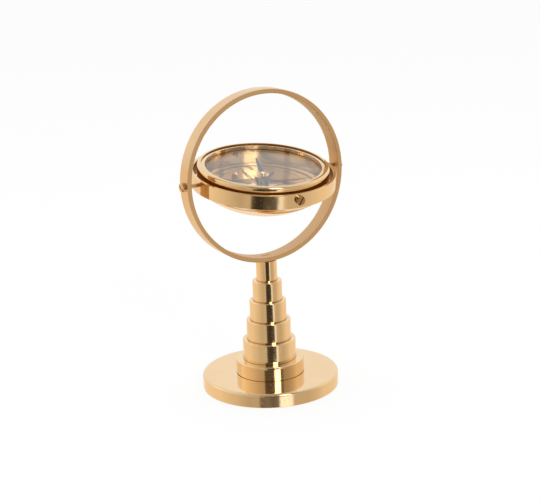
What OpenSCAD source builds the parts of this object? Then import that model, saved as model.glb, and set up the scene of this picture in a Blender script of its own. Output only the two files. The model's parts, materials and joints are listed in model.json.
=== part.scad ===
// Desk compass: a bowl compass in a two-axis gimbal, carried by a ring on a stepped brass column.
// Millimetres. +Z is up, the origin is the middle of the rest face, and the outer pivots lie along X.
// The gimbal ring and everything inside it are drawn about the crossing of the two pivot axes,
// then tipped towards the viewer and lifted to the middle of the outer ring.

/* [Base] */
// Diameter of the base disc
base_d = 108; // [80:1:160]
// Thickness of the base disc
base_h = 11.2; // [8:0.1:20]
// Radius of the rounded top edge of the base
base_edge_r = 2; // [0.5:0.1:5]
// Radius of the small rounding on the lower edge of the base
base_foot_r = 0.6; // [0.2:0.1:1]
// Width of the brass rim left around the felt
felt_border = 4; // [2:0.5:10]
// Thickness of the felt pad
felt_t = 1.3; // [0.8:0.1:3]
// How far the felt stands out below the brass
felt_proud = 0.3; // [0.1:0.1:0.6]

/* [Column] */
// Diameter of the column's foot
foot_d = 54; // [46:1:70]
// Height of the column's foot
foot_h = 11.5; // [6:0.5:20]
// Diameter of the lowest step
step1_d = 42; // [37:0.5:45]
// Diameter of the second step
step2_d = 35; // [31:0.5:36]
// Diameter of the third step
step3_d = 29; // [25:0.5:30]
// Diameter of the top step
step4_d = 23.2; // [19:0.2:24]
// Height of each of the four steps
step_h = 16; // [8:0.5:24]
// Diameter of the post that carries the ring
post_d = 16.4; // [14.5:0.1:18]
// Height of the post above the top step
post_h = 16.7; // [14:0.1:30]
// Height of the small relief under the foot's edge, which shows as a seam on the base
seam_h = 0.4; // [0.2:0.1:0.8]
// Depth of that relief
seam_depth = 0.7; // [0.3:0.1:1.5]
// Radius of the rounded edge on every step
step_edge_r = 0.8; // [0.2:0.1:1.5]
// Depth of the saddle that seats the ring in the post
saddle_depth = 0.6; // [0.2:0.1:1.2]

/* [Outer ring] */
// Width of the ring's flat band
ring_w = 13.5; // [9:0.5:14]
// Thickness of the ring's band
ring_t = 3.5; // [3:0.1:6]
// Width of the small bevel on the ring's edges
ring_bevel = 0.35; // [0.1:0.05:0.6]
// Room between the turning gimbal and the ring
ring_swing_gap = 5; // [1.5:0.5:12]

/* [Gimbal ring] */
// Thickness of the gimbal ring
gimbal_t = 2.4; // [1.8:0.1:4]
// Height of the gimbal ring
gimbal_h = 11; // [9:0.5:18]
// Drop of the gimbal ring's middle below its pivots
gimbal_drop = 0.9; // [0:0.1:1.5]
// Width of the small bevel on the gimbal ring's edges
gimbal_bevel = 0.25; // [0.1:0.05:0.5]
// Room between the turning bowl and the gimbal ring
bowl_swing_gap = 1.9; // [0.6:0.1:4]
// Angle by which the gimbal is tipped about the outer pivots
gimbal_tilt = 9.3; // [0:0.1:20]

/* [Bowl] */
// Outer diameter of the bowl
bowl_d = 101.8; // [84:0.2:130]
// Height of the bowl's rim above the pivot axes
rim_h = 9.5; // [8.5:0.1:14]
// Width of the flat top of the rim
rim_w = 3; // [2.2:0.1:5]
// Radius of the rounding on the rim's outer edge
rim_edge_r = 1.8; // [0.2:0.1:2]
// Length of straight wall below the pivot axes
wall_below_axis = 5; // [2.5:0.5:6]
// Depth of the domed bottom below the straight wall
dome_depth = 23; // [18:0.5:30]
// Radius where the wall turns into the dome
dome_corner_r = 8; // [7:0.5:14]
// Thickness of the bowl's floor
floor_t = 2.5; // [1.5:0.1:4]
// Width of the shoulder that carries the dial
shoulder_w = 3; // [2.6:0.1:5]

/* [Glass and dial] */
// Drop from the rim to the outer edge of the retaining ring
retainer_drop = 1; // [0.2:0.1:1.4]
// Height of the retaining ring at its outer edge
retainer_h = 2.6; // [1.8:0.1:3]
// Slope of the retaining ring's top, measured as a drop
retainer_slope = 0.2; // [0.1:0.1:1.2]
// Width of the retaining ring
retainer_w = 2.8; // [2:0.1:5]
// Thickness of the glass
glass_t = 2; // [1.2:0.1:2.4]
// Thickness of the sealing ring under the glass
gasket_t = 0.5; // [0.3:0.1:0.6]
// Height of the spacer sleeve between dial and glass
sleeve_h = 12.3; // [9.5:0.1:12.5]
// Wall of the spacer sleeve
sleeve_t = 1.8; // [1.2:0.1:3]
// Diameter of the sleeve's wide holes round the bowl's pivots
sleeve_hole_d = 5.6; // [4:0.1:6]
// Thickness of the dial plate
dial_t = 0.8; // [0.5:0.1:1.6]

/* [Needle] */
// Length of the needle from tip to tip
needle_l = 78; // [50:1:84]
// Width of the needle at its middle
needle_w = 4.4; // [3.8:0.1:8]
// Width of the needle's blunt tips
needle_tip_w = 1.6; // [0.8:0.1:2.4]
// Thickness of the needle's steel
needle_t = 0.5; // [0.3:0.1:0.8]
// Height of the needle's underside above the dial
needle_lift = 7.5; // [4.6:0.1:8]
// Direction of the needle's north end, from +X towards +Y
needle_bearing = 69.5; // [0:0.5:360]
// Diameter of the brass hub on the needle
hub_d = 9.5; // [7:0.1:12]
// Thickness of the hub's flange
hub_flange_t = 0.7; // [0.4:0.1:0.8]
// Diameter of the hub's domed cap
cap_d = 5; // [4.2:0.1:6]
// Height of the hub's domed cap above the flange
cap_h = 1.9; // [1.7:0.1:2.1]
// Radius of the rounded edge of the cap
cap_edge_r = 1.5; // [0.5:0.1:1.6]
// Diameter of the round middle of the needle
needle_eye_d = 5.6; // [5:0.1:7]
// Diameter of the stone cup in the hub
jewel_d = 2.6; // [2.2:0.1:3]
// Height of the stone cup
jewel_h = 1.4; // [1:0.1:1.6]
// Width of the stone cup's mouth
cup_mouth_d = 1.9; // [1.2:0.1:2]
// Depth of the stone cup's hollow
cup_depth = 0.7; // [0.4:0.1:0.8]
// Diameter of the pin that carries the needle
pin_d = 1.6; // [1:0.1:1.8]
// Diameter of the pin's collar on the dial
pin_collar_d = 6; // [4:0.5:8]
// Height of the pin's collar
pin_collar_h = 1.2; // [0.6:0.1:2]
// Length of the pin's tapered end
pin_cone_h = 3; // [2:0.1:3.2]
// Diameter of the pin's point
pin_point_d = 0.16; // [0.1:0.02:0.2]

/* [Screws] */
// Diameter of the four pivot screws' heads
head_d = 7.2; // [6:0.1:8.4]
// Height of the pivot screws' heads
head_h = 2.6; // [1.8:0.1:3.5]
// Width of the bevel round a pivot screw's head
head_bevel = 0.4; // [0.1:0.1:0.8]
// Width of a screw's slot
slot_w = 1.1; // [0.8:0.1:1.4]
// Depth of a screw's slot
slot_depth = 1.1; // [0.8:0.1:1.5]
// Turn of the slot in the left pivot screw
slot_turn_left = 35; // [-90:1:90]
// Turn of the slot in the right pivot screw
slot_turn_right = -20; // [-90:1:90]
// Turn of the slot in the front pivot screw
slot_turn_front = 63; // [-90:1:90]
// Turn of the slot in the back pivot screw
slot_turn_back = 15; // [-90:1:90]
// Diameter of the pivot screws' threaded part
thread_d = 4; // [3.6:0.1:5]
// Diameter of the smooth journal that a ring turns on
journal_d = 3; // [2:0.1:3.4]
// Distance that a bowl pivot shows inside the sleeve
journal_proud = 0.6; // [0.2:0.1:1]
// Diameter of the screw that holds the ring to the post
ring_screw_d = 4; // [3:0.1:5]
// Diameter of that screw's countersunk head
ring_screw_head_d = 8; // [7:0.1:9]
// Length of that screw below the ring
ring_screw_l = 10; // [6:0.5:12]
// Diameter of the bolt that ties the column to the base
bolt_d = 6; // [5:0.5:8]
// Depth that the bolt reaches into the column
bolt_reach = 20; // [12:1:26]
// Width across the corners of the bolt's head
bolt_head_d = 11.5; // [10:0.5:14]
// Height of the bolt's head
bolt_head_h = 3.6; // [3:0.1:4]
// Diameter of the washer under the bolt's head
washer_d = 16; // [14:0.5:20]
// Thickness of the washer
washer_t = 1.2; // [0.8:0.1:1.5]

/* [Fits] */
// Radial room of a turning journal in its hole
running_fit = 0.05; // [0.02:0.01:0.1]
// Radial room of a screw in its thread
thread_fit = 0.03; // [0.02:0.01:0.05]
// Radial room around the round pieces stacked in the bowl
nest_fit = 0.1; // [0.05:0.05:0.2]
// Radial room of a screw or washer in a plain hole
hole_fit = 0.3; // [0.2:0.1:0.6]
// Room between the pin's point and the stone cup
point_room = 0.1; // [0.06:0.02:0.16]
// Room between the bolt's head and the felt's upper face
bolt_room = 0.6; // [0.3:0.1:1]

/* [Hidden] */
$fn = 96;
large_fn = 360;
eps = 0.01;
overrun = 1;
brass = [0.86, 0.66, 0.40];
satin_brass = [0.78, 0.60, 0.38];

// Heights of the stand
base_bottom = felt_proud;
base_top = base_bottom + base_h;
felt_d = base_d - 2 * felt_border;
foot_top = base_top + foot_h;
steps = [step1_d, step2_d, step3_d, step4_d];
post_bottom = foot_top + len(steps) * step_h;
post_top = post_bottom + post_h;

// Radii that let the bowl turn in the gimbal ring, and the gimbal in the outer ring
bowl_r = bowl_d / 2;
bowl_swing_r = norm([bowl_r, rim_h]);
gimbal_ir = bowl_swing_r + bowl_swing_gap;
gimbal_or = gimbal_ir + gimbal_t;
gimbal_swing_r = norm([gimbal_or + head_h, head_d / 2]);
ring_ir = gimbal_swing_r + ring_swing_gap;
ring_or = ring_ir + ring_t;
pivot_z = post_top - saddle_depth + ring_or;

// Heights of the stack in the bowl, measured from the pivot axes
bore_r = bowl_r - rim_w;
nest_r = bore_r - nest_fit;
retainer_top = rim_h - retainer_drop;
glass_top = retainer_top - retainer_h;
gasket_top = glass_top - glass_t;
sleeve_top = gasket_top - gasket_t;
dial_top = sleeve_top - sleeve_h;
shoulder_z = dial_top - dial_t;
sleeve_ir = nest_r - sleeve_t;
shoulder_ir = bore_r - shoulder_w;
dome_z = -wall_below_axis;

// Heights of the needle, measured from the pivot axes
needle_z = dial_top + needle_lift;
hub_z = needle_z + needle_t;
cap_z = hub_z + hub_flange_t;
pin_top = hub_z + cup_depth - point_room;

// Counterbore of the base, and the cone of the ring screw's head
counterbore_r = washer_d / 2 + hole_fit;
felt_top = base_bottom + felt_t - felt_proud;
washer_z = felt_top + bolt_room + bolt_head_h;
ring_screw_cone_h = (ring_screw_head_d - ring_screw_d) / 2;

// Half section of a turned disc with a rounded top edge, for rotate_extrude
module turned_section(r, h, edge) {
    square([r - edge, h]);
    square([r, h - edge]);
    translate([r - edge, h - edge]) intersection() {
        circle(edge);
        square(edge);
    }
}

// Flat band bent into a ring about Z, with bevelled edges, its middle at z = 0
module band_ring(inner_r, outer_r, width, bevel) {
    h = width / 2;
    rotate_extrude() polygon([
        [inner_r + bevel, -h], [outer_r - bevel, -h], [outer_r, -h + bevel], [outer_r, h - bevel],
        [outer_r - bevel, h], [inner_r + bevel, h], [inner_r, h - bevel], [inner_r, -h + bevel]]);
}

// Flat ring about Z that stands on z = 0
module washer_ring(inner_r, outer_r, h) {
    rotate_extrude() translate([inner_r, 0]) square([outer_r - inner_r, h]);
}

// Half section of a closed cup: straight wall from top down to corner_z, round corner, domed floor
module cup_section(r, top, corner_z, depth, corner_r) {
    crown_r = (r * r - 2 * r * corner_r + depth * depth) / (2 * (depth - corner_r));
    crown_z = corner_z - depth + crown_r;
    join = [r - corner_r, corner_z];
    aim = (join - [0, crown_z]) / norm(join - [0, crown_z]);
    translate([0, corner_z]) square([r, top - corner_z]);
    translate(join) intersection() {
        circle(corner_r);
        translate([-corner_r, -corner_r]) square([2 * corner_r, corner_r]);
    }
    intersection() {
        translate([0, crown_z]) circle(crown_r, $fn = large_fn);
        polygon([[0, crown_z], [0, crown_z - 2 * crown_r], [0, crown_z] + 2 * crown_r * aim]);
        translate([0, crown_z - 2 * crown_r]) square([2 * crown_r, corner_z - crown_z + 2 * crown_r]);
    }
}

// Pivot screw along +X: the seat of its head lies at x = seat, the journal's end at x = tip
module pivot_screw(seat, thread_end, tip, slot_turn) {
    rotate([0, 90, 0]) difference() {
        rotate_extrude() polygon([
            [0, tip], [journal_d / 2, tip], [journal_d / 2, thread_end], [thread_d / 2, thread_end],
            [thread_d / 2, seat], [head_d / 2, seat], [head_d / 2, seat + head_h - head_bevel],
            [head_d / 2 - head_bevel, seat + head_h], [0, seat + head_h]]);
        translate([0, 0, seat + head_h]) rotate([0, 0, slot_turn])
            cube([slot_w, 2 * head_d, 2 * slot_depth], center = true);
    }
}

// Hole along X with its middle on the pivot axes, from x = a to x = b
module cross_hole(a, b, d) {
    translate([a, 0, 0]) rotate([0, 90, 0]) cylinder(h = b - a, d = d);
}

// Puts what is drawn about the pivot axes into its place in the outer ring
module in_gimbal() {
    translate([0, 0, pivot_z]) rotate([gimbal_tilt, 0, 0]) children();
}

// Stand

module base_disc() {
    color(brass) difference() {
        translate([0, 0, base_bottom]) rotate_extrude() difference() {
            turned_section(base_d / 2, base_h, base_edge_r);
            translate([base_d / 2 - base_foot_r, 0]) difference() {
                square(base_foot_r);
                translate([0, base_foot_r]) circle(base_foot_r);
            }
        }
        translate([0, 0, base_bottom - eps])
            cylinder(h = felt_top - base_bottom + eps, d = felt_d + 2 * hole_fit);
        cylinder(h = washer_z + washer_t, r = counterbore_r);
        cylinder(h = base_top + eps, d = bolt_d + 2 * hole_fit);
    }
}

module felt_pad() {
    color("darkgreen") cylinder(h = felt_t, d = felt_d);
}

module stepped_column() {
    color(brass) difference() {
        rotate_extrude() {
            difference() {
                translate([0, base_top]) turned_section(foot_d / 2, foot_h, step_edge_r);
                translate([foot_d / 2 - seam_depth, base_top - eps])
                    square([seam_depth + overrun, seam_h + eps]);
            }
            for (i = [0 : len(steps) - 1])
                translate([0, foot_top + i * step_h - eps])
                    turned_section(steps[i] / 2, step_h + eps, step_edge_r);
            translate([0, post_bottom - eps]) square([post_d / 2, post_h + eps]);
        }
        translate([0, 0, pivot_z]) rotate([90, 0, 0])
            cylinder(h = 2 * post_d, r = ring_or, center = true, $fn = large_fn);
        translate([0, 0, base_top - eps])
            cylinder(h = bolt_reach + overrun, d = bolt_d + 2 * thread_fit);
        translate([0, 0, post_top - saddle_depth - ring_screw_l - overrun])
            cylinder(h = ring_screw_l + 2 * overrun, d = ring_screw_d + 2 * thread_fit);
    }
}

module base_bolt() {
    color("silver") {
        translate([0, 0, washer_z - bolt_head_h]) cylinder(h = bolt_head_h, d = bolt_head_d, $fn = 6);
        translate([0, 0, washer_z - eps])
            cylinder(h = base_top + bolt_reach - washer_z + eps, d = bolt_d);
    }
}

module base_washer() {
    color("silver") translate([0, 0, washer_z])
        washer_ring(bolt_d / 2 + hole_fit / 2, washer_d / 2, washer_t);
}

module outer_ring() {
    color(satin_brass) translate([0, 0, pivot_z]) difference() {
        rotate([90, 0, 0]) band_ring(ring_ir, ring_or, ring_w, ring_bevel, $fn = large_fn);
        cross_hole(-ring_or - overrun, ring_or + overrun, thread_d + 2 * thread_fit);
        translate([0, 0, -ring_or - overrun])
            cylinder(h = ring_t + 2 * overrun, d = ring_screw_d + 2 * thread_fit);
        translate([0, 0, -ring_ir - ring_screw_cone_h])
            cylinder(h = ring_screw_cone_h + thread_fit, d1 = ring_screw_d + 2 * thread_fit,
                     d2 = ring_screw_head_d + 4 * thread_fit);
        translate([0, 0, -ring_ir])
            cylinder(h = overrun, d = ring_screw_head_d + 4 * thread_fit);
    }
}

module ring_screw() {
    color(brass) translate([0, 0, pivot_z - ring_ir]) difference() {
        union() {
            translate([0, 0, -ring_screw_cone_h])
                cylinder(h = ring_screw_cone_h, d1 = ring_screw_d, d2 = ring_screw_head_d);
            translate([0, 0, -ring_t - ring_screw_l])
                cylinder(h = ring_t + ring_screw_l - ring_screw_cone_h + eps, d = ring_screw_d);
        }
        cube([2 * ring_screw_head_d, slot_w, 2 * slot_depth], center = true);
    }
}

module ring_pivot(slot_turn) {
    color(brass) pivot_screw(ring_or, ring_ir, gimbal_ir, slot_turn);
}

module ring_pivot_left() {
    translate([0, 0, pivot_z]) mirror([1, 0, 0]) ring_pivot(slot_turn_left);
}

module ring_pivot_right() {
    translate([0, 0, pivot_z]) ring_pivot(slot_turn_right);
}

// Gimbal ring

module gimbal_ring() {
    color(brass) in_gimbal() difference() {
        translate([0, 0, -gimbal_drop])
            band_ring(gimbal_ir, gimbal_or, gimbal_h, gimbal_bevel, $fn = large_fn);
        cross_hole(-gimbal_or - overrun, gimbal_or + overrun, journal_d + 2 * running_fit);
        rotate([0, 0, 90])
            cross_hole(-gimbal_or - overrun, gimbal_or + overrun, thread_d + 2 * thread_fit);
    }
}

module bowl_pivot(slot_turn) {
    color(brass) pivot_screw(gimbal_or, gimbal_ir, sleeve_ir - journal_proud, slot_turn);
}

module bowl_pivot_front() {
    in_gimbal() rotate([0, 0, -90]) bowl_pivot(slot_turn_front);
}

module bowl_pivot_back() {
    in_gimbal() rotate([0, 0, 90]) bowl_pivot(slot_turn_back);
}

// Bowl

module bowl_shell() {
    color(brass) in_gimbal() difference() {
        rotate_extrude($fn = large_fn) difference() {
            cup_section(bowl_r, rim_h, dome_z, dome_depth, dome_corner_r);
            translate([bowl_r - rim_edge_r, rim_h - rim_edge_r]) difference() {
                square(rim_edge_r + eps);
                circle(rim_edge_r);
            }
            translate([0, shoulder_z]) square([bore_r, rim_h - shoulder_z + overrun]);
            intersection() {
                cup_section(bowl_r - floor_t, shoulder_z, dome_z, dome_depth - floor_t,
                            dome_corner_r - floor_t);
                translate([0, -bowl_r]) square([shoulder_ir, bowl_r + shoulder_z + eps]);
            }
        }
        rotate([0, 0, 90])
            cross_hole(-bowl_r - overrun, bowl_r + overrun, journal_d + 2 * running_fit);
    }
}

module dial_plate() {
    color(satin_brass) in_gimbal() translate([0, 0, shoulder_z])
        washer_ring(pin_d / 2 + thread_fit, nest_r, dial_t);
}

module spacer_sleeve() {
    color(brass) in_gimbal() difference() {
        translate([0, 0, dial_top]) washer_ring(sleeve_ir, nest_r, sleeve_h);
        rotate([0, 0, 90])
            cross_hole(-nest_r - overrun, nest_r + overrun, sleeve_hole_d);
    }
}

module glass_gasket() {
    color("dimgray") in_gimbal() translate([0, 0, sleeve_top])
        washer_ring(sleeve_ir, nest_r, gasket_t);
}

module cover_glass() {
    color("lightcyan", 0.4) in_gimbal() translate([0, 0, gasket_top]) cylinder(h = glass_t, r = nest_r);
}

module retaining_ring() {
    inner_r = nest_r - retainer_w;
    color(brass) in_gimbal() rotate_extrude() polygon([
        [inner_r, glass_top], [nest_r, glass_top], [nest_r, retainer_top],
        [inner_r, retainer_top - retainer_slope]]);
}

// The pin is riveted through the dial and stands on a collar
module needle_pin() {
    color("silver") in_gimbal() {
        translate([0, 0, shoulder_z]) cylinder(h = dial_t, d = pin_d);
        translate([0, 0, dial_top]) cylinder(h = pin_collar_h, d = pin_collar_d);
        translate([0, 0, dial_top]) cylinder(h = pin_top - pin_cone_h - dial_top, d = pin_d);
        translate([0, 0, pin_top - pin_cone_h]) cylinder(h = pin_cone_h, d1 = pin_d, d2 = pin_point_d);
    }
}

// Needle

// Long blade, widest at the hub, with blunt rounded tips
module needle_blade() {
    tip_x = (needle_l - needle_tip_w) / 2;
    for (side = [-1, 1]) translate([side * tip_x, 0]) circle(d = needle_tip_w);
    polygon([[-tip_x, -needle_tip_w / 2], [0, -needle_w / 2], [tip_x, -needle_tip_w / 2],
             [tip_x, needle_tip_w / 2], [0, needle_w / 2], [-tip_x, needle_tip_w / 2]]);
}

module compass_needle() {
    color("darkslategray") in_gimbal() translate([0, 0, needle_z]) rotate([0, 0, needle_bearing])
        linear_extrude(needle_t) difference() {
            union() {
                needle_blade();
                circle(d = needle_eye_d);
            }
            circle(d = jewel_d);
        }
}

module needle_hub() {
    color(brass) in_gimbal() difference() {
        rotate_extrude() {
            translate([0, hub_z]) square([hub_d / 2, hub_flange_t]);
            translate([0, cap_z]) turned_section(cap_d / 2, cap_h, cap_edge_r);
        }
        translate([0, 0, hub_z - eps]) cylinder(h = jewel_h + nest_fit, d = jewel_d + 2 * thread_fit);
    }
}

// The stone cup has a conical hollow that rests on the pin's point
module needle_jewel() {
    color("firebrick") in_gimbal() translate([0, 0, hub_z]) rotate_extrude() polygon([
        [cup_mouth_d / 2, 0], [jewel_d / 2, 0], [jewel_d / 2, jewel_h], [0, jewel_h], [0, cup_depth]]);
}

base_disc();
felt_pad();
stepped_column();
base_bolt();
base_washer();
outer_ring();
ring_screw();
ring_pivot_left();
ring_pivot_right();
gimbal_ring();
bowl_pivot_front();
bowl_pivot_back();
bowl_shell();
dial_plate();
spacer_sleeve();
glass_gasket();
cover_glass();
retaining_ring();
needle_pin();
compass_needle();
needle_hub();
needle_jewel();
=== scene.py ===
# %% [markdown]
# # A brass desk compass in a gimbal
#
# The compass is a stack of turned brass: a round base, a stepped column, an upright ring, a gimbal ring
# inside it and a glazed bowl inside that. The solid parts come from the CAD model and are already exact,
# with smooth normals, so this lesson gives them their finishes, prints the dial and sets up the studio.
# All lengths in the script are metres, and a millimetre is written as `MM`.

# %% Load the frame
import json
import math

import bpy
from mathutils import Matrix, Vector


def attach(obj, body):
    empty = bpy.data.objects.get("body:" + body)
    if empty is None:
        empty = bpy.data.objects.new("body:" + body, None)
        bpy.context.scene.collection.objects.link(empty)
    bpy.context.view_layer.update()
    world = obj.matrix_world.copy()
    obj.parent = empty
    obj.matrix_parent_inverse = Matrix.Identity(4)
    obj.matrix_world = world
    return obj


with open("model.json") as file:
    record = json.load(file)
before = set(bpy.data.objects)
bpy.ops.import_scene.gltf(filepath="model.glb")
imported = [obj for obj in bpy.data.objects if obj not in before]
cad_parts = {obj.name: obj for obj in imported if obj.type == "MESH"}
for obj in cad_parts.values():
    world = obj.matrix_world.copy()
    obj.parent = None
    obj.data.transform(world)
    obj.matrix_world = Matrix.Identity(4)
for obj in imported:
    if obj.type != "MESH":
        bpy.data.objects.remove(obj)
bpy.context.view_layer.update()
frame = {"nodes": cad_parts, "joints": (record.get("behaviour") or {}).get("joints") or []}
MM = 0.001
print("pieces from the model:", len(frame["nodes"]))

# %% [markdown]
# ## Where things are
#
# The gimbal ring, the bowl and the needle all turn about one point, and the bowl is tipped a little towards
# the viewer. The angle could be typed in, but the model's joints already hold it: every joint sits at the
# crossing of the pivots, and the needle's joint points along the bowl's own axis. Everything on the dial is
# drawn flat, about that axis, and then carried to its place by one matrix.

# %% Crossing of the pivots and the bowl's own axis
joints = {joint["name"]: joint for joint in frame["joints"]}
crossing = Vector(joints["needle_spin"]["pos_m"])
bowl_axis = Vector(joints["needle_spin"]["axis"]).normalized()
bowl_tilt = math.atan2(-bowl_axis.y, bowl_axis.z)
bowl_place = Matrix.Translation(crossing) @ Matrix.Rotation(bowl_tilt, 4, "X")
print("bowl tipped by degrees:", round(math.degrees(bowl_tilt), 1))


# %% Measuring the model about the bowl's axis
def points_about_bowl(node_name):
    """The corners of a piece of the model, measured about the bowl's own axis."""
    back = bowl_place.inverted()
    return [back @ vertex.co for vertex in frame["nodes"][node_name].data.vertices]


def radius_about_bowl(node_name, choose):
    """The least or the greatest distance of a piece's corners from the bowl's own axis."""
    return choose(math.hypot(point.x, point.y) for point in points_about_bowl(node_name))


dial_top = max(point.z for point in points_about_bowl("dial_plate"))
open_r = radius_about_bowl("spacer_sleeve", min)
print("radius of the open part of the dial in mm:", round(open_r / MM, 1))

# %% [markdown]
# ## Camera
#
# The photograph was taken with a long lens, a little above the bowl and from the left of its front pivot.
# The camera's place and lens were found by fitting the outlines of the base, the steps and the ring, which
# is surer than moving the camera by eye. The real stand leans a little to the left, so the camera is rolled
# by part of that angle.

# %% Camera
CAMERA_PLACE = Vector((-0.4565, -0.8487, 0.3778))
CAMERA_AIM = Vector((0.4554, 0.8493, -0.2669))
CAMERA_ROLL = math.radians(-2.2)
LENS_MM = 85.4
SENSOR_MM = 36
SHIFT_RIGHT = 0.0107
NEAR, FAR = 0.01, 50

camera = bpy.data.objects.new("camera", bpy.data.cameras.new("camera"))
bpy.context.scene.collection.objects.link(camera)
camera.data.lens = LENS_MM
camera.data.sensor_width = SENSOR_MM
camera.data.shift_x = SHIFT_RIGHT
camera.data.clip_start = NEAR
camera.data.clip_end = FAR
camera.matrix_world = (Matrix.Translation(CAMERA_PLACE)
                       @ CAMERA_AIM.to_track_quat("-Z", "Y").to_matrix().to_4x4()
                       @ Matrix.Rotation(CAMERA_ROLL, 4, "Z"))
bpy.context.scene.camera = camera
camera_bearing = math.atan2(CAMERA_PLACE.y, CAMERA_PLACE.x)
print("camera bearing in degrees:", round(math.degrees(camera_bearing), 1))

# %% [markdown]
# ## Helpers for node trees
#
# Finishes, the studio and the dial's marks are all node trees. They could be clicked together by hand, but
# a script keeps them readable and repeatable with a few small helpers. The first puts a value or a link
# into a socket, and the next adds a node with its inputs. The others each give back one value: a mix of two
# colours, a range carried to another, a calculation, a noise, or the normal of a raised surface. The mix
# node holds several sockets of the same name, so its colour sockets are picked by their number.


# %% Helpers for sockets and nodes
def plug(tree, value, socket):
    """Puts a plain value, or a link from another socket, into a socket."""
    if isinstance(value, bpy.types.NodeSocket):
        tree.links.new(value, socket)
    else:
        socket.default_value = value


def add_node(tree, kind, inputs=None, **settings):
    """A new node with its settings and its inputs, which are named or counted from 0."""
    node = tree.nodes.new(kind)
    for name, value in settings.items():
        setattr(node, name, value)
    for name, value in (inputs or {}).items():
        plug(tree, value, node.inputs[name])
    return node


print("helpers for sockets and nodes ready")


# %% Helpers that give back one value
def mix_colours(tree, factor, first, second):
    """The colour between two colours."""
    node = add_node(tree, "ShaderNodeMix", data_type="RGBA")
    for number, value in ((0, factor), (6, first), (7, second)):
        plug(tree, value, node.inputs[number])
    return node.outputs[2]


def map_range(tree, value, from_low, from_high, to_low=0.0, to_high=1.0):
    """The value carried from one range to another, and kept inside it."""
    node = add_node(tree, "ShaderNodeMapRange", {
        "Value": value, "From Min": from_low, "From Max": from_high, "To Min": to_low, "To Max": to_high})
    return node.outputs["Result"]


def calculate(tree, operation, first, second):
    """The result of one operation on two numbers."""
    return add_node(tree, "ShaderNodeMath", {0: first, 1: second}, operation=operation).outputs[0]


def noise(tree, vector, scale, detail):
    """A noise between 0 and 1."""
    node = add_node(tree, "ShaderNodeTexNoise", {"Vector": vector, "Scale": scale, "Detail": detail})
    return node.outputs["Fac"]


def raised(tree, height, strength, distance, under=None):
    """The normal of a surface raised by a pattern of heights, over the normal of another one if given."""
    node = add_node(tree, "ShaderNodeBump", {"Height": height, "Strength": strength, "Distance": distance})
    if under is not None:
        plug(tree, under, node.inputs["Normal"])
    return node.outputs["Normal"]


print("helpers for values ready")

# %% [markdown]
# ## Studio light
#
# Polished brass has hardly a colour of its own: what we see in it is the room. In the photograph the room
# is a white tent with a dark front, where the camera stands, and a softbox beside it. That makes the dark
# stripe and the white streak on every turned part. A photographer would build this with cards. Cards would
# do here too, but they would stand in the way in other views. So the world itself is a stack of rings of
# light around the object. Each ring lists the levels of light by degrees to the right of the camera.
#
# From the floor up they are: the room that the gimbal and the underside of the bowl mirror, a strip of
# table right before the base that catches the softbox, the room that the column mirrors, the room just
# above the horizon, the height of the softbox itself, and a roof that is dim over the camera. The first
# three have the warm tone of the table. The camera itself sees plain white.

# %% Levels of light in each ring
BELOW = [
    (-180, 1.0), (-95, 0.98), (-60, 0.76), (-38, 0.6), (-23, 0.66), (-19, 0.10), (-11, 0.04), (-3, 0.045),
    (2, 0.08), (13, 0.085), (21, 0.13), (26, 1.05), (31, 1.05), (36, 0.74), (42, 0.64), (64, 0.66),
    (85, 0.8), (102, 0.95), (180, 1.0)]
TABLE = [
    (-180, 1.0), (-95, 0.98), (-60, 0.74), (-38, 0.56), (-22, 0.56), (-17, 0.16), (-6, 0.24), (3, 0.17),
    (12, 0.24), (16, 1.4), (27, 1.4), (35, 1.2), (39, 0.62), (64, 0.64), (85, 0.76), (102, 0.92),
    (180, 1.0)]
STEPS = [
    (-180, 1.0), (-95, 0.98), (-60, 0.78), (-38, 0.64), (-13, 0.66), (-9, 0.08), (6, 0.045), (20, 0.07),
    (28, 0.16), (32, 1.05), (37, 1.05), (41, 0.68), (52, 0.62), (64, 0.6), (85, 0.78), (102, 0.95),
    (180, 1.0)]
LOW = [
    (-180, 1.0), (-95, 1.0), (-60, 0.8), (-38, 0.64), (-21, 0.56), (8, 0.56), (12, 0.7), (14, 1.2),
    (32, 1.2), (36, 0.62), (64, 0.68), (85, 0.85), (102, 1.0), (180, 1.0)]
HIGH = [
    (-180, 1.0), (-126, 1.0), (-108, 1.2), (-92, 1.06), (-60, 0.84), (-38, 0.66), (-21, 0.56),
    (-19, 0.12), (8, 0.1), (14, 0.4), (15, 5.0), (32, 5.0), (34, 0.3), (41, 0.18), (47, 0.44),
    (64, 0.53), (85, 0.74), (102, 1.0), (180, 1.0)]
ROOF = [
    (-180, 0.9), (-110, 0.95), (-70, 0.7), (-20, 0.5), (40, 0.5), (80, 0.7), (110, 0.95), (180, 0.9)]
print("levels in the rings:", [len(levels) for levels in (BELOW, TABLE, STEPS, LOW, HIGH, ROOF)])

# %% [markdown]
# ## Stacking the rings
#
# A radial gradient turns a direction into a bearing, and a colour ramp turns the bearing into a level. The
# height is the upward part of a direction of length 1, so that -1 is straight down and 0 is the horizon.
# Each ring takes over from the one below it between two heights, and straight down the world is white.

# %% World
WHITE = (1, 1, 1, 1)
NEUTRAL = (1.0, 1.0, 1.0)
WARM = (1.0, 0.86, 0.68)
STACK = [
    (BELOW, WARM, -0.75, -0.5), (TABLE, WARM, -0.436, -0.43), (STEPS, WARM, -0.362, -0.356),
    (LOW, NEUTRAL, -0.03, 0.03), (HIGH, NEUTRAL, 0.264, 0.27), (ROOF, NEUTRAL, 0.5, 0.75)]


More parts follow.
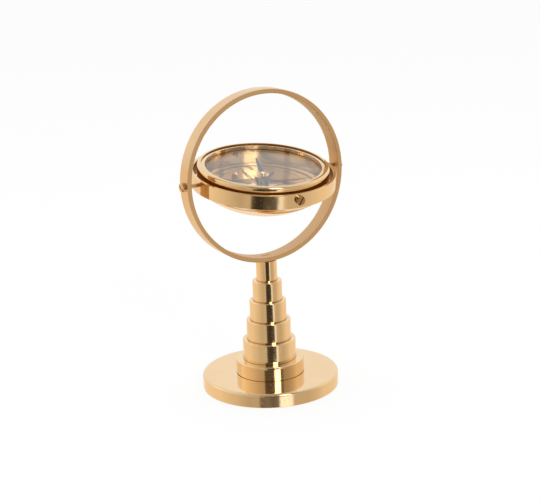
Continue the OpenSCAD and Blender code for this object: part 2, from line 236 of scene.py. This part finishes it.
def ring_of_light(tree, bearing, levels, tone):
    """Light by degrees to the right of the camera. The tone leaves out the softbox, which is above 1."""
    node = add_node(tree, "ShaderNodeValToRGB", {"Fac": bearing})
    stops = node.color_ramp.elements
    while len(stops) < len(levels):
        stops.new(1.0)
    for stop, (degrees, level) in zip(stops, levels):
        stop.position = 0.5 + degrees / 360
        stop.color = [level * part for part in (tone if level <= 1 else NEUTRAL)] + [1]
    return node.outputs["Color"]


world = bpy.data.worlds.new("studio")
bpy.context.scene.world = world
world.use_nodes = True
tree = world.node_tree
tree.nodes.clear()
direction = add_node(tree, "ShaderNodeTexCoord").outputs["Generated"]
turned = add_node(tree, "ShaderNodeMapping", {"Vector": direction, "Rotation": (0, 0, -camera_bearing)})
bearing = add_node(tree, "ShaderNodeTexGradient", {"Vector": turned.outputs["Vector"]},
                   gradient_type="RADIAL").outputs["Fac"]
height = add_node(tree, "ShaderNodeSeparateXYZ", {"Vector": direction}).outputs["Z"]
tent = WHITE
for levels, tone, starts_at, full_at in STACK:
    tent = mix_colours(tree, map_range(tree, height, starts_at, full_at), tent,
                       ring_of_light(tree, bearing, levels, tone))
tent_light = add_node(tree, "ShaderNodeBackground", {"Color": tent})
plain_light = add_node(tree, "ShaderNodeBackground", {"Color": WHITE})
rays = add_node(tree, "ShaderNodeLightPath")
chosen = add_node(tree, "ShaderNodeMixShader", {
    0: rays.outputs["Is Camera Ray"], 1: tent_light.outputs[0], 2: plain_light.outputs[0]})
add_node(tree, "ShaderNodeOutputWorld", {"Surface": chosen.outputs[0]})
print("rings of light in the world:", len(STACK))

# %% [markdown]
# ## Floor and lamps
#
# The floor is white paper. For the camera it also glows, so that it comes out as the photograph's white and
# still takes the object's soft shadow. More lamps would whiten it too, but they would bleach the brass.
# Brass would mirror such a floor everywhere, but in the photograph it mirrors a darker room in front, so
# reflections look past the floor to the rings of light. Two large soft lamps light what isn't metal: one
# beside the camera and one overhead.

# %% White paper
PAPER_COLOUR = (0.85, 0.85, 0.85, 1)
PAPER_ROUGHNESS = 0.9
PAPER_GLOW = 0.9


def new_material(name, constants):
    """A material with one Principled shader, whose given inputs are the same all over."""
    material = bpy.data.materials.new(name)
    material.use_nodes = True
    tree = material.node_tree
    tree.nodes.clear()
    shader = add_node(tree, "ShaderNodeBsdfPrincipled", constants)
    add_node(tree, "ShaderNodeOutputMaterial", {"Surface": shader.outputs[0]})
    return material, tree, shader


def white_paper():
    """White paper that glows for every ray that is seen, but lights nothing else."""
    material, tree, shader = new_material("white_paper", {
        "Base Color": PAPER_COLOUR, "Roughness": PAPER_ROUGHNESS})
    rays = add_node(tree, "ShaderNodeLightPath").outputs
    seen = calculate(tree, "MAXIMUM", rays["Is Camera Ray"], rays["Is Glossy Ray"])
    seen = calculate(tree, "MAXIMUM", seen, rays["Is Transmission Ray"])
    glow = add_node(tree, "ShaderNodeEmission", {"Color": WHITE})
    both = add_node(tree, "ShaderNodeMixShader", {
        0: calculate(tree, "MULTIPLY", seen, PAPER_GLOW), 1: shader.outputs[0], 2: glow.outputs[0]})
    plug(tree, both.outputs[0], tree.get_output_node("ALL").inputs["Surface"])
    return material


paper = white_paper()
print("floor's finish:", paper.name)

# %% Floor
FLOOR_SIZE = 16
FLOOR_DROP = 0.2 * MM

half = FLOOR_SIZE / 2
floor_mesh = bpy.data.meshes.new("floor")
floor_mesh.from_pydata([(x, y, -FLOOR_DROP) for x, y in (
    (-half, -half), (half, -half), (half, half), (-half, half))], [], [(0, 1, 2, 3)])
floor_mesh.materials.append(paper)
floor = bpy.data.objects.new("floor", floor_mesh)
bpy.context.scene.collection.objects.link(floor)
floor.visible_glossy = False
print("floor's width in metres:", FLOOR_SIZE)

# %% Lamps
KEY_BEARING = math.radians(25)
KEY_DISTANCE, KEY_HEIGHT = 1.4, 0.8
KEY_SIZE, KEY_WATTS = 0.7, 6
TOP_PLACE = Vector((0, 0.2, 1.7))
TOP_SIZE, TOP_WATTS = 1.4, 10


def add_lamp(name, place, size, watts):
    """A square soft lamp that points at the crossing of the pivots."""
    lamp = bpy.data.objects.new(name, bpy.data.lights.new(name, "AREA"))
    bpy.context.scene.collection.objects.link(lamp)
    lamp.data.size = size
    lamp.data.energy = watts
    lamp.location = place
    lamp.rotation_euler = (crossing - place).to_track_quat("-Z", "Y").to_euler()
    lamp.visible_glossy = False


key_bearing = camera_bearing + KEY_BEARING
key_place = Vector((KEY_DISTANCE * math.cos(key_bearing), KEY_DISTANCE * math.sin(key_bearing), KEY_HEIGHT))
add_lamp("key_lamp", key_place, KEY_SIZE, KEY_WATTS)
add_lamp("top_lamp", TOP_PLACE, TOP_SIZE, TOP_WATTS)
bpy.context.scene.view_settings.view_transform = "Standard"
print("lamps, in watts:", KEY_WATTS, TOP_WATTS)

# %% [markdown]
# ## Turned and polished brass
#
# A lathe leaves fine lines that run round the axis of each part, and a polishing wheel blurs them but never
# quite removes them. An anisotropic shader could blur what is mirrored along the lines, but it would leave
# every part too even. So the finish is a metal with low roughness and a few patterns. Faint lines come
# from noise that is stretched round the part: a point is described by its distance from the turning axis
# and its height along it, so the noise can't change on the way round.
#
# A broad cloudy noise makes the gloss and the tone uneven, as on lacquered brass that has been handled. A
# second one bends the surface by less than a hair's breadth, which makes the reflections waver as on
# hand-polished metal, and a fine one sets dull spots in the lacquer. In corners an ambient occlusion node,
# which looks only at the part itself, paints shade: it lets the brass go brown where little light reaches.
# The inner walls of the rings were never polished, so a finish may be given a radius inside which the brass
# is rough and takes another colour. In the bores of the rim and the gimbal that colour is a dark brown,
# which paints the shade of these narrow gaps.

# %% Tones and patterns of the brass
BRASS, BRASS_DEEP = (0.885, 0.652, 0.385, 1), (0.85, 0.608, 0.34, 1)
RING_BRASS, RING_BRASS_DEEP = (0.80, 0.535, 0.29, 1), (0.74, 0.485, 0.25, 1)
SCREW_BRASS, SCREW_BRASS_DEEP = (0.47, 0.28, 0.12, 1), (0.36, 0.20, 0.08, 1)
# painted shade: the brown that ambient occlusion mixes into the brass in its corners
PAINTED_CORNER_SHADE = (0.45, 0.26, 0.11, 1)
# painted shade: the dark browns of the rim's and the gimbal's bores stand in for the shade in these narrow
# gaps
RIM_BORE_SHADE = (0.28, 0.125, 0.03, 1)
GIMBAL_BORE_SHADE = (0.50, 0.24, 0.06, 1)
RING_INSIDE = (0.74, 0.51, 0.29, 1)
UNPOLISHED_ROUGHNESS = 0.5
CORNER_REACH = 1.1 * MM
CORNER_RANGE = (0.5, 0.85)
CLOUD_SCALE, CLOUD_DETAIL, CLOUD_RANGE = 38, 4, (0.35, 0.75)
LINE_SCALE, LINE_DETAIL, LINE_DEPTH = 3200, 3, 0.05 * MM
WAVE_SCALE, WAVE_DETAIL, WAVE_DEPTH = 80, 1, 0.05 * MM
SPOT_SCALE, SPOT_DETAIL, SPOT_RANGE = 650, 2, (0.58, 0.72)
BLUR_RANGE = (0.1, 0.45)
print("corners go brown within mm:", round(CORNER_REACH / MM, 1))

# %% [markdown]
# ## Axes of the lathe
#
# The base and the column were turned about the upright axis, the outer ring about its own level one, and
# the gimbal ring and the bowl about the tipped one. The screws are so small that their lines can't be told
# apart, so they share the upright axis. A Mapping node lays the pattern on Object coordinates, which keeps
# it on the metal when a part moves. Texture coordinates unwrapped by hand would do so too, but with seams.

# %% Coordinates round a turning axis
UPRIGHT = {"Location": (0, 0, 0), "Rotation": (0, 0, 0)}
ABOUT_RING = {"Location": crossing, "Rotation": (math.pi / 2, 0, 0)}
ABOUT_BOWL = {"Location": crossing, "Rotation": (bowl_tilt, 0, 0)}


def lathe_coordinates(tree, axis):
    """Distance from the turning axis and height along it, as one vector."""
    place = add_node(tree, "ShaderNodeTexCoord").outputs["Object"]
    own = add_node(tree, "ShaderNodeMapping", {"Vector": place, **axis}, vector_type="TEXTURE")
    parts = add_node(tree, "ShaderNodeSeparateXYZ", {"Vector": own.outputs["Vector"]})
    flat = add_node(tree, "ShaderNodeCombineXYZ", {"X": parts.outputs["X"], "Y": parts.outputs["Y"]})
    radius = add_node(tree, "ShaderNodeVectorMath", {0: flat.outputs["Vector"]}, operation="LENGTH")
    both = add_node(tree, "ShaderNodeCombineXYZ", {"X": radius.outputs["Value"], "Y": parts.outputs["Z"]})
    return both.outputs["Vector"]


print("turning axes: upright, the ring's and the bowl's")

# %% [markdown]
# ## Layers of the brass
#
# Real brass gets its look in layers: the metal's tone, the polish, and what time and hands did to both.
# Each layer is a short function here, and one more function stacks them. One long list of nodes would do
# the same, but its layers could no longer be read or changed one by one.


# %% Layers of the brass
def brass_tone(tree, cloud, light, deep):
    """The colour of polished brass: cloudy, and browned in the corners by painted shade."""
    tone = mix_colours(tree, map_range(tree, cloud, *CLOUD_RANGE), light, deep)
    # painted shade: ambient occlusion browns the brass where the part hides its own corners
    corners = add_node(tree, "ShaderNodeAmbientOcclusion", {"Distance": CORNER_REACH}, only_local=True)
    return mix_colours(tree, map_range(tree, corners.outputs["AO"], *CORNER_RANGE), PAINTED_CORNER_SHADE, tone)


def brass_roughness(tree, cloud, lines, spots, gloss, spot_blur):
    """The roughness of polished brass: cloudy, lined, and higher in the dull spots."""
    even = map_range(tree, calculate(tree, "MULTIPLY", cloud, lines), *BLUR_RANGE, *gloss)
    return calculate(tree, "ADD", even, map_range(tree, spots, *SPOT_RANGE, 0.0, spot_blur))


def dull_share(tree, turning, inside, above):
    """1 on what lies inside a radius and above a height, and 0 elsewhere."""
    parts = add_node(tree, "ShaderNodeSeparateXYZ", {"Vector": turning}).outputs
    near = calculate(tree, "LESS_THAN", parts["X"], inside)
    return calculate(tree, "MULTIPLY", near, calculate(tree, "GREATER_THAN", parts["Y"], above))


print("layers of the brass ready")


# %% One brass finish
def brass_finish(name, axis, light=BRASS, deep=BRASS_DEEP, gloss=(0.045, 0.10), spot_blur=0.15,
                 line_share=0.03, wave_depth=WAVE_DEPTH, dull=RIM_BORE_SHADE, dull_inside=0.0,
                 dull_above=-1.0):
    """Brass turned about an axis and polished, but left dull inside a radius and above a height."""
    material, tree, shader = new_material(name, {"Metallic": 1.0})
    place = add_node(tree, "ShaderNodeTexCoord").outputs["Object"]
    turning = lathe_coordinates(tree, axis)
    cloud = noise(tree, place, CLOUD_SCALE, CLOUD_DETAIL)
    lines = noise(tree, turning, LINE_SCALE, LINE_DETAIL)
    spots = noise(tree, place, SPOT_SCALE, SPOT_DETAIL)
    waves = noise(tree, place, WAVE_SCALE, WAVE_DETAIL)
    # inside the radius the brass is rough and takes the dull colour, which in the rim's and the gimbal's
    # bores is painted shade
    share = dull_share(tree, turning, dull_inside, dull_above)
    tone = mix_colours(tree, share, brass_tone(tree, cloud, light, deep), dull)
    roughness = brass_roughness(tree, cloud, lines, spots, gloss, spot_blur)
    roughness = map_range(tree, share, 0.0, 1.0, roughness, UNPOLISHED_ROUGHNESS)
    normal = raised(tree, lines, line_share, LINE_DEPTH, raised(tree, waves, 1.0, wave_depth))
    plug(tree, tone, shader.inputs["Base Color"])
    plug(tree, roughness, shader.inputs["Roughness"])
    plug(tree, normal, shader.inputs["Normal"])
    return material


print("depth of the waves in mm:", round(WAVE_DEPTH / MM, 2))

# %% [markdown]
# ## One finish for each kind of part
#
# The stand and the bowl were polished bright. The outer ring is satin, as if its flat band was only
# brushed, and the screws are a darker brass. The dial and the sleeve are smooth but not
# mirror-like. One finish for all would be less work, but the photograph shows them apart.
#
# The radii of the dull inner walls are measured on the model, plus a hair, so that the walls themselves
# fall inside them. The retaining ring sits in the rim's bore with a small fit. The rim needs a height as
# well, because the round underside of the bowl lies inside that radius too. The outer ring's bevel is dull
# as its inner wall is.

# %% Brass finishes
HAIR = 0.05 * MM
NEST_FIT = 0.1 * MM
RING_BEVEL = 0.36 * MM
SMOOTH = {"line_share": 0.01, "wave_depth": 0.02 * WAVE_DEPTH, "spot_blur": 0.0}

gimbal_bore_r = radius_about_bowl("gimbal_ring", min)
rim_bore_r = radius_about_bowl("retaining_ring", max) + NEST_FIT
ring_bore_r = min(math.hypot(vertex.co.x, vertex.co.z - crossing.z)
                  for vertex in frame["nodes"]["outer_ring"].data.vertices)

stand_brass = brass_finish("polished_brass_stand", UPRIGHT)
ring_brass = brass_finish("polished_brass_ring", ABOUT_RING, light=RING_BRASS, deep=RING_BRASS_DEEP,
                          gloss=(0.18, 0.32), spot_blur=0.03, line_share=0.12, dull=RING_INSIDE,
                          dull_inside=ring_bore_r + RING_BEVEL)
pivot_brass = brass_finish("darker_brass_pivots", UPRIGHT, light=RING_BRASS, deep=SCREW_BRASS,
                           gloss=(0.08, 0.18), line_share=0.05)
screw_brass = brass_finish("darker_brass_screws", UPRIGHT, light=SCREW_BRASS, deep=SCREW_BRASS_DEEP,
                           gloss=(0.12, 0.25), line_share=0.05)
# the gimbal's and the rim's bores get a dark brown that paints the shade of the narrow gaps
gimbal_brass = brass_finish("polished_brass_gimbal", ABOUT_BOWL, dull=GIMBAL_BORE_SHADE,
                            dull_inside=gimbal_bore_r + HAIR)
rim_brass = brass_finish("polished_brass_rim", ABOUT_BOWL, dull_inside=rim_bore_r + HAIR, dull_above=0.0)
bowl_brass = brass_finish("polished_brass_bowl", ABOUT_BOWL)
sleeve_brass = brass_finish("polished_brass_sleeve", ABOUT_BOWL, gloss=(0.15, 0.20), **SMOOTH)
dial_brass = brass_finish("dial_brass", ABOUT_BOWL, gloss=(0.07, 0.14), **SMOOTH)
print("bores in mm:", [round(bore / MM, 2) for bore in (ring_bore_r, gimbal_bore_r, rim_bore_r)])

# %% [markdown]
# ## Finishes of the small parts
#
# The needle is heat-blued steel, which is a dark metal with a cool tone. The glass has hardly any tint and
# mirrors less than window glass, as coated glass does. A lower refractive index gives that in one number,
# where a real coating would need a second shader. The gasket is brown rubber. Felt is a mat of short
# fibres: fine noise breaks up its colour and its surface, and a sheen lightens it from the side. The cup in
# the hub is a red stone, and the dial's print is a nearly black ink.

# %% Steel and glass
STEEL_GRAIN_SCALE, STEEL_GRAIN_DETAIL = 900, 3
STEEL_TONE_RANGE, STEEL_SHADE = (0.3, 0.7), 0.6
STEEL_BLUR_RANGE, STEEL_BLUR_SHARES = (0.2, 0.8), (0.8, 1.3)
GLASS_COLOUR = (0.97, 0.98, 0.97, 1)
GLASS_INDEX = 1.3


def steel_finish(name, colour, roughness):
    """Brushed steel with fine uneven gloss."""
    material, tree, shader = new_material(name, {"Metallic": 1.0})
    place = add_node(tree, "ShaderNodeTexCoord").outputs["Object"]
    grain = noise(tree, place, STEEL_GRAIN_SCALE, STEEL_GRAIN_DETAIL)
    darker = [STEEL_SHADE * part for part in colour[:3]] + [1]
    tone = mix_colours(tree, map_range(tree, grain, *STEEL_TONE_RANGE), colour, darker)
    blurs = [share * roughness for share in STEEL_BLUR_SHARES]
    plug(tree, tone, shader.inputs["Base Color"])
    plug(tree, map_range(tree, grain, *STEEL_BLUR_RANGE, *blurs), shader.inputs["Roughness"])
    return material


blued_steel = steel_finish("blued_steel", (0.07, 0.08, 0.11, 1), 0.45)
plain_steel = steel_finish("plain_steel", (0.56, 0.55, 0.53, 1), 0.25)
clear_glass, _, _ = new_material("clear_glass", {
    "Base Color": GLASS_COLOUR, "Roughness": 0.0, "IOR": GLASS_INDEX, "Transmission Weight": 1.0})
print("finishes:", blued_steel.name, plain_steel.name, clear_glass.name)

# %% Rubber, felt, stone and ink
GRAIN_DETAIL, GRAIN_RANGE, GRAIN_HEIGHT = 5, (0.35, 0.65), 0.1 * MM


def dull_finish(name, light, dark, grain_scale, roughness, sheen=0.0, grain_share=0.0):
    """A finish whose fine grain changes its colour and its surface."""
    material, tree, shader = new_material(name, {"Roughness": roughness, "Sheen Weight": sheen})
    place = add_node(tree, "ShaderNodeTexCoord").outputs["Object"]
    grain = noise(tree, place, grain_scale, GRAIN_DETAIL)
    tone = mix_colours(tree, map_range(tree, grain, *GRAIN_RANGE), light, dark)
    plug(tree, tone, shader.inputs["Base Color"])
    plug(tree, raised(tree, grain, grain_share, GRAIN_HEIGHT), shader.inputs["Normal"])
    return material


brown_rubber = dull_finish("brown_rubber", light=(0.09, 0.05, 0.025, 1), dark=(0.06, 0.035, 0.015, 1),
                           grain_scale=700, roughness=0.6, grain_share=0.3)
green_felt = dull_finish("green_felt", light=(0.02, 0.09, 0.04, 1), dark=(0.01, 0.05, 0.02, 1),
                         grain_scale=1500, roughness=0.95, sheen=0.6, grain_share=0.8)
red_stone = dull_finish("red_stone", light=(0.30, 0.01, 0.02, 1), dark=(0.18, 0.01, 0.01, 1),
                        grain_scale=300, roughness=0.1)
dial_print = dull_finish("dial_print", light=(0.030, 0.024, 0.02, 1), dark=(0.05, 0.04, 0.03, 1),
                         grain_scale=1200, roughness=0.45, grain_share=0.1)
print("finishes:", brown_rubber.name, green_felt.name, red_stone.name, dial_print.name)

# %% [markdown]
# ## Finishes go onto the model's own pieces
#
# The pieces of the model keep their meshes. Copies with new materials would double them, so only the
# material in each slot changes.

# %% Give every piece of the model its finish
FINISH_OF = {
    "base_disc": stand_brass, "stepped_column": stand_brass, "felt_pad": green_felt,
    "base_bolt": plain_steel, "base_washer": plain_steel, "outer_ring": ring_brass,
    "ring_screw": ring_brass, "ring_pivot_left": pivot_brass, "ring_pivot_right": pivot_brass,
    "gimbal_ring": gimbal_brass, "bowl_pivot_front": screw_brass, "bowl_pivot_back": screw_brass,
    "bowl_shell": rim_brass, "dial_plate": dial_brass, "spacer_sleeve": sleeve_brass,
    "glass_gasket": brown_rubber, "cover_glass": clear_glass, "retaining_ring": bowl_brass,
    "needle_pin": plain_steel, "compass_needle": blued_steel, "needle_hub": bowl_brass,
    "needle_jewel": red_stone}
for node_name, finish in FINISH_OF.items():
    for slot in frame["nodes"][node_name].material_slots:
        slot.material = finish
print("finished pieces:", len(FINISH_OF))

# %% [markdown]
# ## Marks on the dial that repeat
#
# The degree scale, the circles and the star all follow simple rules, which is what Geometry Nodes are for.
# An image could carry them too, but it would blur up close. One tree sets short bars round a circle, one
# sweeps a thin strip along a circle, and one draws an arm of the star and repeats it. Print has almost no
# thickness, so every mark is a flat prism of a few hundredths of a millimetre. Each result is turned into a
# plain mesh and carried to the bowl.

# %% Helpers for Geometry Nodes
PRINT_THICKNESS = 0.04 * MM
SOCKET_KINDS = {"Count": "NodeSocketInt", "Material": "NodeSocketMaterial"}


def new_shape_tree(name, input_names):
    """A Geometry Nodes tree with the given inputs, and the sockets that hold their values."""
    tree = bpy.data.node_groups.new(name, "GeometryNodeTree")
    tree.interface.new_socket("Geometry", in_out="OUTPUT", socket_type="NodeSocketGeometry")
    for input_name in input_names:
        kind = SOCKET_KINDS.get(input_name, "NodeSocketFloat")
        tree.interface.new_socket(input_name, in_out="INPUT", socket_type=kind)
    return tree, tree.nodes.new("NodeGroupInput").outputs


def close_shape_tree(tree, geometry, material):
    """Ends a tree in real geometry with its material."""
    real = add_node(tree, "GeometryNodeRealizeInstances", {"Geometry": geometry})
    painted = add_node(tree, "GeometryNodeSetMaterial", {"Geometry": real.outputs[0], "Material": material})
    plug(tree, painted.outputs[0], tree.nodes.new("NodeGroupOutput").inputs["Geometry"])


def grow(name, tree, values):
    """Runs a tree once with the given inputs and returns its result as a plain mesh."""
    holder = bpy.data.objects.new(name, bpy.data.meshes.new(name))
    bpy.context.scene.collection.objects.link(holder)
    modifier = holder.modifiers.new("grow", "NODES")
    modifier.node_group = tree
    for item in tree.interface.items_tree:
        if item.in_out == "INPUT":
            modifier[item.identifier] = values[item.name]
    evaluated = holder.evaluated_get(bpy.context.evaluated_depsgraph_get())
    mesh = bpy.data.meshes.new_from_object(evaluated)
    holder.modifiers.clear()
    bpy.data.objects.remove(holder)
    mesh.name = name
    return mesh


print("thickness of the print in mm:", round(PRINT_THICKNESS / MM, 2))

# %% Tree: bars round a circle
ticks_tree, given = new_shape_tree("bars_round_circle", [
    "Count", "Radius", "Length", "Width", "Thickness", "Material"])
circle = add_node(ticks_tree, "GeometryNodeMeshCircle", {
    "Vertices": given["Count"], "Radius": given["Radius"]})
bar_size = add_node(ticks_tree, "ShaderNodeCombineXYZ", {
    "X": given["Length"], "Y": given["Width"], "Z": given["Thickness"]})
bar = add_node(ticks_tree, "GeometryNodeMeshCube", {"Size": bar_size.outputs["Vector"]})
outward = add_node(ticks_tree, "FunctionNodeAlignRotationToVector", {
    "Vector": add_node(ticks_tree, "GeometryNodeInputPosition").outputs[0]}, axis="X", pivot_axis="Z")
ring_of_bars = add_node(ticks_tree, "GeometryNodeInstanceOnPoints", {
    "Points": circle.outputs["Mesh"], "Instance": bar.outputs["Mesh"], "Rotation": outward.outputs[0]})
close_shape_tree(ticks_tree, ring_of_bars.outputs["Instances"], given["Material"])
print("nodes in the tree for bars:", len(ticks_tree.nodes))

# %% Tree: a strip along a circle
strip_tree, given = new_shape_tree("strip_along_circle", [
    "Count", "Radius", "Width", "Thickness", "Material"])
path = add_node(strip_tree, "GeometryNodeCurvePrimitiveCircle", {
    "Resolution": given["Count"], "Radius": given["Radius"]})
level = add_node(strip_tree, "GeometryNodeSetCurveNormal", {"Curve": path.outputs["Curve"]}, mode="Z_UP")
section = add_node(strip_tree, "GeometryNodeCurvePrimitiveQuadrilateral", {
    "Width": given["Width"], "Height": given["Thickness"]})
strip = add_node(strip_tree, "GeometryNodeCurveToMesh", {
    "Curve": level.outputs["Curve"], "Profile Curve": section.outputs["Curve"]})
close_shape_tree(strip_tree, strip.outputs["Mesh"], given["Material"])
print("nodes in the tree for circles:", len(strip_tree.nodes))

# %% [markdown]
# ## The star
#
# A compass star is drawn with lines. Each arm has a middle line and two edges that meet at its tip, and one
# half of the arm is shaded by more lines that fan out from the tip. Solid halves would be simpler, but they
# would look like stickers. The tree draws one arm as a fan of straight strips, all from the tip to points
# between the arm's foot on the middle line and its corner at the side, and then sets copies of it round the
# centre. It runs once for the four long arms and once for the four short ones between them.

# %% Tree: corners of an arm of the star
SHADING_LINES = 3

arms_tree, given = new_shape_tree("arms_of_star", [
    "Count", "Turn", "Inner", "Reach", "Side Radius", "Side Angle", "Line Width", "Thickness", "Material"])


def corner_at(radius, angle):
    """A point on the dial from its radius and its angle."""
    flat = add_node(arms_tree, "ShaderNodeCombineXYZ", {"X": radius})
    node = add_node(arms_tree, "ShaderNodeVectorRotate", {
        "Vector": flat.outputs["Vector"], "Angle": angle}, rotation_type="Z_AXIS")
    return node.outputs["Vector"]


def point_between(first, second, share):
    """A point on the straight line between two points."""
    node = add_node(arms_tree, "ShaderNodeMix", data_type="VECTOR")
    for number, value in ((0, share), (4, first), (5, second)):
        plug(arms_tree, value, node.inputs[number])
    return node.outputs[1]


foot = corner_at(given["Inner"], 0.0)
tip = corner_at(given["Reach"], 0.0)
dark_side = corner_at(given["Side Radius"], given["Side Angle"])
light_side = corner_at(given["Side Radius"], calculate(arms_tree, "MULTIPLY", given["Side Angle"], -1.0))
line_ends = [point_between(foot, dark_side, step / SHADING_LINES) for step in range(SHADING_LINES + 1)]
line_ends.append(light_side)
print("lines in an arm of the star:", len(line_ends))

# %% Tree: one arm, and copies of it round the centre
fan = add_node(arms_tree, "GeometryNodeJoinGeometry")
for line_end in line_ends:
    line = add_node(arms_tree, "GeometryNodeCurvePrimitiveLine", {"Start": tip, "End": line_end})
    plug(arms_tree, line.outputs["Curve"], fan.inputs["Geometry"])
fan_up = add_node(arms_tree, "GeometryNodeSetCurveNormal", {"Curve": fan.outputs[0]}, mode="Z_UP")
line_section = add_node(arms_tree, "GeometryNodeCurvePrimitiveQuadrilateral", {
    "Width": given["Line Width"], "Height": given["Thickness"]})
arm = add_node(arms_tree, "GeometryNodeCurveToMesh", {
    "Curve": fan_up.outputs["Curve"], "Profile Curve": line_section.outputs["Curve"], "Fill Caps": True})
starts = add_node(arms_tree, "GeometryNodeMeshCircle", {"Vertices": given["Count"], "Radius": 1.0})
heading = add_node(arms_tree, "FunctionNodeAlignRotationToVector", {
    "Vector": add_node(arms_tree, "GeometryNodeInputPosition").outputs[0]}, axis="X", pivot_axis="Z")
arms = add_node(arms_tree, "GeometryNodeInstanceOnPoints", {
    "Points": starts.outputs["Mesh"], "Instance": arm.outputs[0], "Rotation": heading.outputs[0]})
middle = add_node(arms_tree, "ShaderNodeCombineXYZ")
gathered = add_node(arms_tree, "GeometryNodeSetPosition", {
    "Geometry": arms.outputs["Instances"], "Position": middle.outputs["Vector"]})
turn = add_node(arms_tree, "ShaderNodeCombineXYZ", {"Z": given["Turn"]})
aimed = add_node(arms_tree, "GeometryNodeTransform", {
    "Geometry": gathered.outputs["Geometry"], "Rotation": turn.outputs["Vector"]})
close_shape_tree(arms_tree, aimed.outputs["Geometry"], given["Material"])
print("nodes in the tree for the star:", len(arms_tree.nodes))

# %% [markdown]
# ## Printing the dial
#
# From the rim inwards the dial has a circle, a scale of two-degree ticks with longer ones every ten
# degrees, a ring of numbers, a second circle and the star. Marks could be single objects, but a dial has
# hundreds of them, so meshes that belong together are joined into one piece, laid on the dial and carried
# to the tipped bowl.

# %% Helpers for printed pieces
CIRCLE_STEPS = 180
STAR_LINE_WIDTH = 0.6 * MM
ARMS = 4


def dial_piece(name, meshes):
    """Joins flat meshes into one printed piece on the dial that rides with the bowl."""
    joined = bpy.data.meshes.new(name)
    points, faces = [], []
    for mesh in meshes:
        start = len(points)
        points += [vertex.co.copy() for vertex in mesh.vertices]
        faces += [[start + corner for corner in polygon.vertices] for polygon in mesh.polygons]
    joined.from_pydata(points, [], faces)
    joined.materials.append(dial_print)
    lift = dial_top + PRINT_THICKNESS / 2
    joined.transform(bowl_place @ Matrix.Translation((0, 0, lift)))
    piece = bpy.data.objects.new(name, joined)
    bpy.context.scene.collection.objects.link(piece)
    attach(piece, "bowl")
    print("printed", name, "with faces:", len(faces))


def printed(name, tree, values):
    """A mark from its tree, in the print's thickness and ink."""
    return grow(name, tree, {**values, "Thickness": PRINT_THICKNESS, "Material": dial_print})


def bars(step, outer_r, length, width):
    """A ring of bars, one every few degrees, that reach inwards from a radius."""
    return printed("bars", ticks_tree, {
        "Count": 360 // step, "Radius": outer_r - length / 2, "Length": length, "Width": width})


def circle_line(radius, width):
    """A printed circle."""
    return printed("circle", strip_tree, {"Count": CIRCLE_STEPS, "Radius": radius, "Width": width})


def star(turn, inner, reach, side_radius, side_angle):
    """One set of the star's arms."""
    return printed("star", arms_tree, {
        "Count": ARMS, "Turn": turn, "Inner": inner, "Reach": reach, "Side Radius": side_radius,
        "Side Angle": side_angle, "Line Width": STAR_LINE_WIDTH})


print("arms in each set of the star:", ARMS)

# %% Circles and scale
TICK_STEP, TICK_LENGTH, TICK_WIDTH = 2, 2.2 * MM, 0.7 * MM
LONG_STEP, LONG_TICK_LENGTH, LONG_TICK_WIDTH = 10, 3.0 * MM, 1.0 * MM
SCALE_LINE_WIDTH, INNER_LINE_WIDTH = 0.7 * MM, 0.55 * MM

scale_r = open_r - 2.7 * MM
star_r = open_r - 11 * MM
inner_circle_r = star_r + 0.6 * MM
dial_piece("dial_circles", [circle_line(scale_r, SCALE_LINE_WIDTH),
                            circle_line(inner_circle_r, INNER_LINE_WIDTH)])
dial_piece("dial_scale", [bars(TICK_STEP, scale_r, TICK_LENGTH, TICK_WIDTH),
                          bars(LONG_STEP, scale_r, LONG_TICK_LENGTH, LONG_TICK_WIDTH)])

# %% Star, whose short arms come out from behind the long ones at an elbow
EIGHTH_TURN = math.pi / 4
WAIST_R = 8.6 * MM
ELBOW_R, ELBOW_ANGLE = 10.9 * MM, math.radians(14.7)

short_reach = star_r - 3 * MM
dial_piece("dial_star", [star(0, 0, star_r, WAIST_R, EIGHTH_TURN),
                         star(EIGHTH_TURN, WAIST_R, short_reach, ELBOW_R, ELBOW_ANGLE)])

# %% [markdown]
# ## Numbers and letters
#
# A compass dial counts its degrees clockwise from north. Digits drawn by hand would be uneven, while text
# objects give clean outlines, so each number is typeset, given the print's thickness, made a mesh and
# turned with its foot towards the middle.

# %% Numbers and letters
NUMBER_STEP = 30
LETTERS = {0: "N", 90: "E", 180: "S", 270: "W"}
LETTER_HEIGHT, NUMBER_HEIGHT = 6.2 * MM, 4.8 * MM


def typeset(characters, height, radius, clockwise_degrees):
    """A number or a letter on the dial as a flat mesh, with its foot towards the middle."""
    text = bpy.data.curves.new(characters, "FONT")
    text.body = characters
    text.size = height
    text.extrude = PRINT_THICKNESS / 2
    text.align_x = "CENTER"
    text.align_y = "CENTER"
    holder = bpy.data.objects.new(characters, text)
    bpy.context.scene.collection.objects.link(holder)
    mesh = bpy.data.meshes.new_from_object(holder.evaluated_get(bpy.context.evaluated_depsgraph_get()))
    bpy.data.objects.remove(holder)
    turn = Matrix.Rotation(-math.radians(clockwise_degrees), 4, "Z")
    mesh.transform(turn @ Matrix.Translation((0, radius, 0)))
    return mesh


number_r = open_r - 8 * MM
typeset_meshes = []
for degrees in range(0, 360, NUMBER_STEP):
    letter = LETTERS.get(degrees)
    height = LETTER_HEIGHT if letter else NUMBER_HEIGHT
    typeset_meshes.append(typeset(letter or str(degrees), height, number_r, degrees))
dial_piece("dial_numbers", typeset_meshes)
